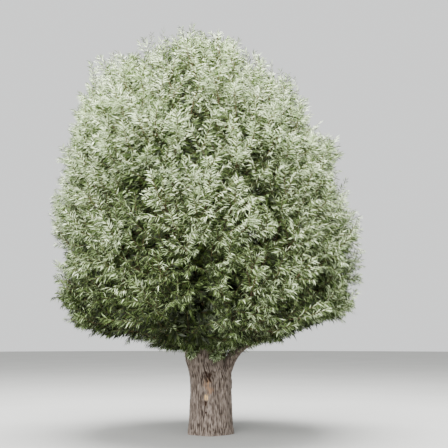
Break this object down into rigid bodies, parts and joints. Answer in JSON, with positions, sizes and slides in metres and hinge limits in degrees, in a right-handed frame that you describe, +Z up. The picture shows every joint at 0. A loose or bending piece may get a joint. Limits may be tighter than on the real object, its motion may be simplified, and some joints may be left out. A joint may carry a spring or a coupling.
{
  "type": "pollard willow tree",
  "caption": "Pollard willow rooted in level ground: short stout trunk with a knuckled head, poles that leave it all round, and a dense rounded silvery crown in leaf.",
  "frame": {"origin": "middle of the flat cut under the trunk, at ground level", "axes": "+Z up along the trunk, -Y towards the side that the picture shows, +X to the right in it"},
  "size_m": [4.7888, 4.8755, 6.502],
  "materials": {
    "bark": "grey-brown bark in interlaced upright ridges and dark furrows, matt",
    "pole_bark": "smoother olive-brown bark of poles and twigs, matt",
    "foliage": "narrow leaves, silvery and silky on some sprays and grey-green on others, soft sheen"
  },
  "bodies": {
    "root": {"trunk": "bark", "limb_right": "pole_bark", "pole_skirt_2": "pole_bark", "pole_skirt_3": "pole_bark", "pole_skirt_4": "pole_bark", "pole_skirt_5": "pole_bark", "pole_skirt_6": "pole_bark", "pole_skirt_7": "pole_bark", "pole_skirt_8": "pole_bark", "pole_waist_1": "pole_bark", "pole_waist_2": "pole_bark", "pole_waist_3": "pole_bark", "pole_waist_4": "pole_bark", "pole_waist_5": "pole_bark", "pole_waist_6": "pole_bark", "pole_waist_7": "pole_bark", "pole_waist_8": "pole_bark", "pole_shoulder_1": "pole_bark", "pole_shoulder_2": "pole_bark", "pole_shoulder_3": "pole_bark", "pole_shoulder_4": "pole_bark", "pole_shoulder_5": "pole_bark", "pole_shoulder_6": "pole_bark", "pole_crown_1": "pole_bark", "pole_crown_2": "pole_bark", "pole_crown_3": "pole_bark", "pole_crown_4": "pole_bark", "pole_top": "pole_bark", "foliage_skirt_1": "foliage", "foliage_skirt_2": "foliage", "foliage_skirt_3": "foliage", "foliage_skirt_4": "foliage", "foliage_skirt_5": "foliage", "foliage_skirt_6": "foliage", "foliage_skirt_7": "foliage", "foliage_skirt_8": "foliage", "foliage_waist_1": "foliage", "foliage_waist_2": "foliage", "foliage_waist_3": "foliage", "foliage_waist_4": "foliage", "foliage_waist_5": "foliage", "foliage_waist_6": "foliage", "foliage_waist_7": "foliage", "foliage_waist_8": "foliage", "foliage_shoulder_1": "foliage", "foliage_shoulder_2": "foliage", "foliage_shoulder_3": "foliage", "foliage_shoulder_4": "foliage", "foliage_shoulder_5": "foliage", "foliage_shoulder_6": "foliage", "foliage_crown_1": "foliage", "foliage_crown_2": "foliage", "foliage_crown_3": "foliage", "foliage_crown_4": "foliage", "foliage_top": "foliage", "tuft_1": "foliage", "tuft_2": "foliage", "tuft_3": "foliage"}
  },
  "joints": []
}
